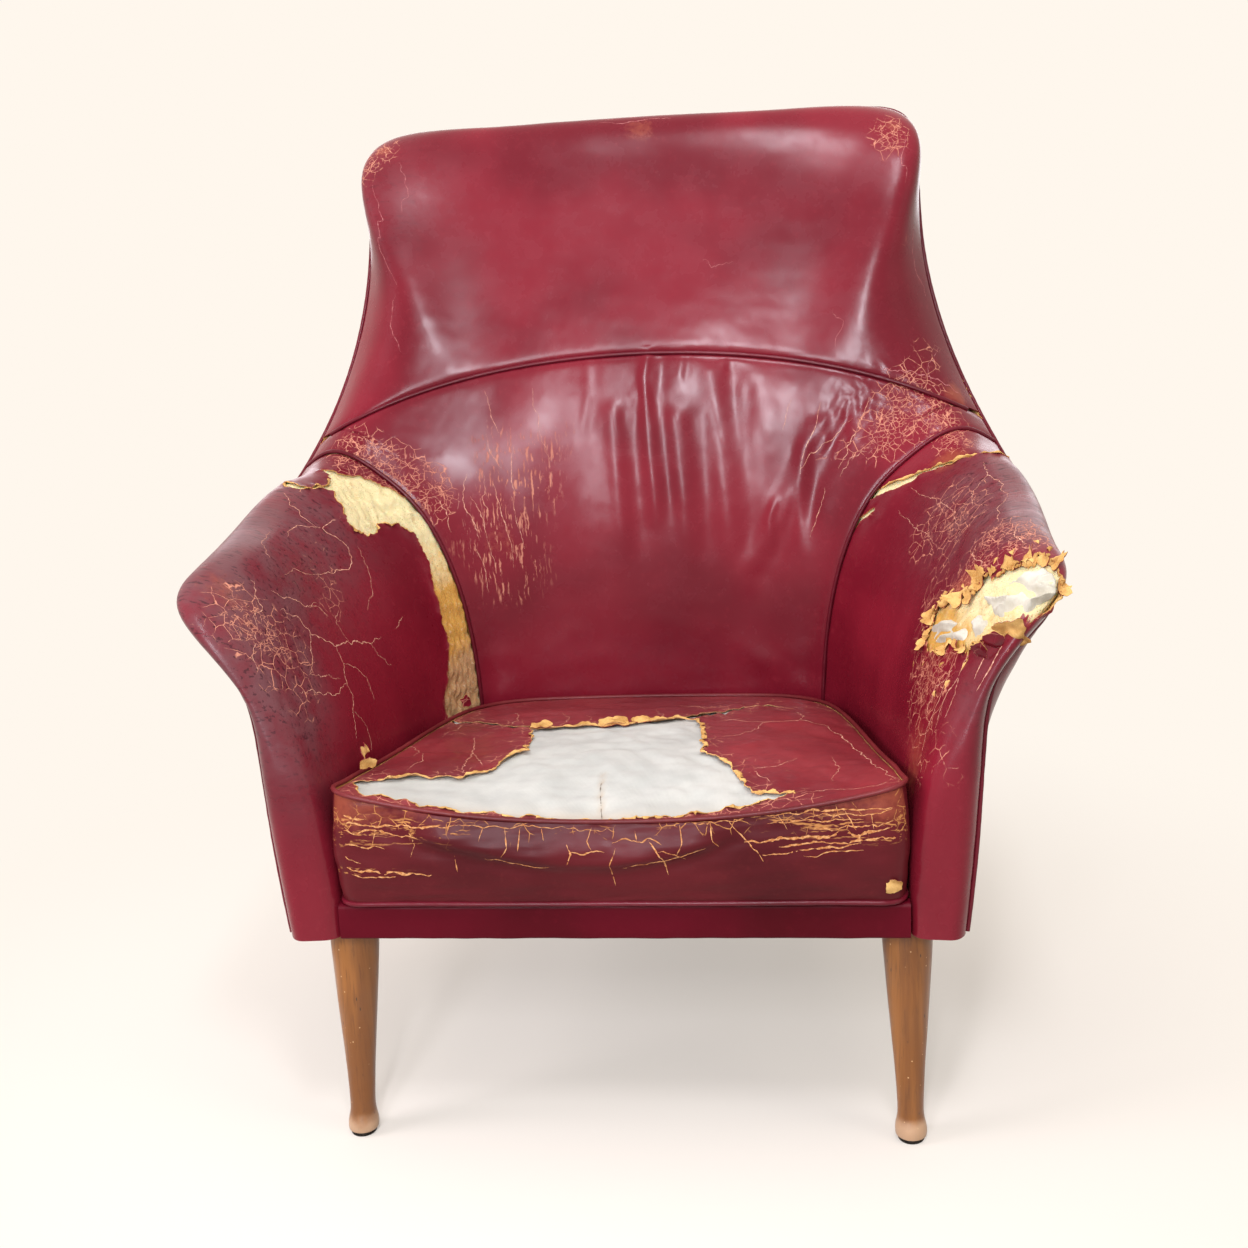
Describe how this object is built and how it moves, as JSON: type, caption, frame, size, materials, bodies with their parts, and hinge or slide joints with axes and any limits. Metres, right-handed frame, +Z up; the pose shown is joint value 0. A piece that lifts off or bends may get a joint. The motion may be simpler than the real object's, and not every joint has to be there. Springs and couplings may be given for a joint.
{
  "type": "worn club chair",
  "caption": "High-backed easy chair in cracked oxblood leather with rolled arms, a torn loose seat cushion and tapered wooden legs.",
  "frame": {"origin": "on the floor under the middle of the chair's overall width and depth", "axes": "+X to the right as seen from in front, +Y from the front of the seat to the back, +Z up"},
  "size_m": [0.866, 0.6431, 1.0153],
  "materials": {
    "oxblood_leather": "glossy aniline hide, worn, cracked and scuffed",
    "boxing_leather": "the same hide, dull, creased and crazed from use",
    "rail_leather": "deep crimson hide, smooth",
    "cord_leather": "dark leather over piping cord",
    "latex_foam": "aged latex foam, yellowed and stained",
    "muslin": "plain white cotton muslin",
    "feather_fill": "feather filling",
    "stained_beech": "stained and polished beech, nicked, bare at the feet",
    "raw_beech": "planed beech, unfinished",
    "jute": "woven jute webbing",
    "fibre": "curled fibre stuffing",
    "felt": "wool felt",
    "cambric": "black cotton cambric",
    "plated_steel": "zinc plated",
    "black_steel": "blackened, worn"
  },
  "bodies": {
    "root": {"arch_piping": "cord_leather", "arm_left_cover": "oxblood_leather", "arm_left_pad": "latex_foam", "arm_piping_left": "cord_leather", "arm_piping_right": "cord_leather", "arm_post_left": "raw_beech", "arm_post_right": "raw_beech", "arm_rail_left": "raw_beech", "arm_rail_right": "raw_beech", "arm_right_cover": "oxblood_leather", "arm_right_pad": "latex_foam", "arm_roll_left": "fibre", "arm_roll_right": "fibre", "back_cover": "oxblood_leather", "back_pad": "latex_foam", "back_post_left": "raw_beech", "back_post_right": "raw_beech", "back_rail": "raw_beech", "back_webbing": "jute", "cushion_bottom": "oxblood_leather", "cushion_bottom_piping": "cord_leather", "cushion_boxing": "boxing_leather", "cushion_filling": "feather_fill", "cushion_liner": "muslin", "cushion_top": "oxblood_leather", "cushion_top_piping": "cord_leather", "deck_pad": "felt", "dust_cover": "cambric", "edge_piping": "cord_leather", "front_block_left": "raw_beech", "front_block_right": "raw_beech", "front_glide_left": "black_steel", "front_glide_right": "black_steel", "front_leg_bolt_left": "plated_steel", "front_leg_bolt_right": "plated_steel", "front_leg_left": "stained_beech", "front_leg_right": "stained_beech", "front_rail": "raw_beech", "front_rail_cover": "rail_leather", "head_cover": "oxblood_leather", "head_pad": "latex_foam", "outside_arm_left": "oxblood_leather", "outside_arm_right": "oxblood_leather", "outside_back": "oxblood_leather", "rear_block_left": "raw_beech", "rear_block_right": "raw_beech", "rear_glide_left": "black_steel", "rear_glide_right": "black_steel", "rear_leg_bolt_left": "plated_steel", "rear_leg_bolt_right": "plated_steel", "rear_leg_left": "stained_beech", "rear_leg_right": "stained_beech", "seat_webbing": "jute", "side_rail_left": "raw_beech", "side_rail_right": "raw_beech", "top_rail": "raw_beech", "waist_rail": "raw_beech"}
  },
  "joints": []
}
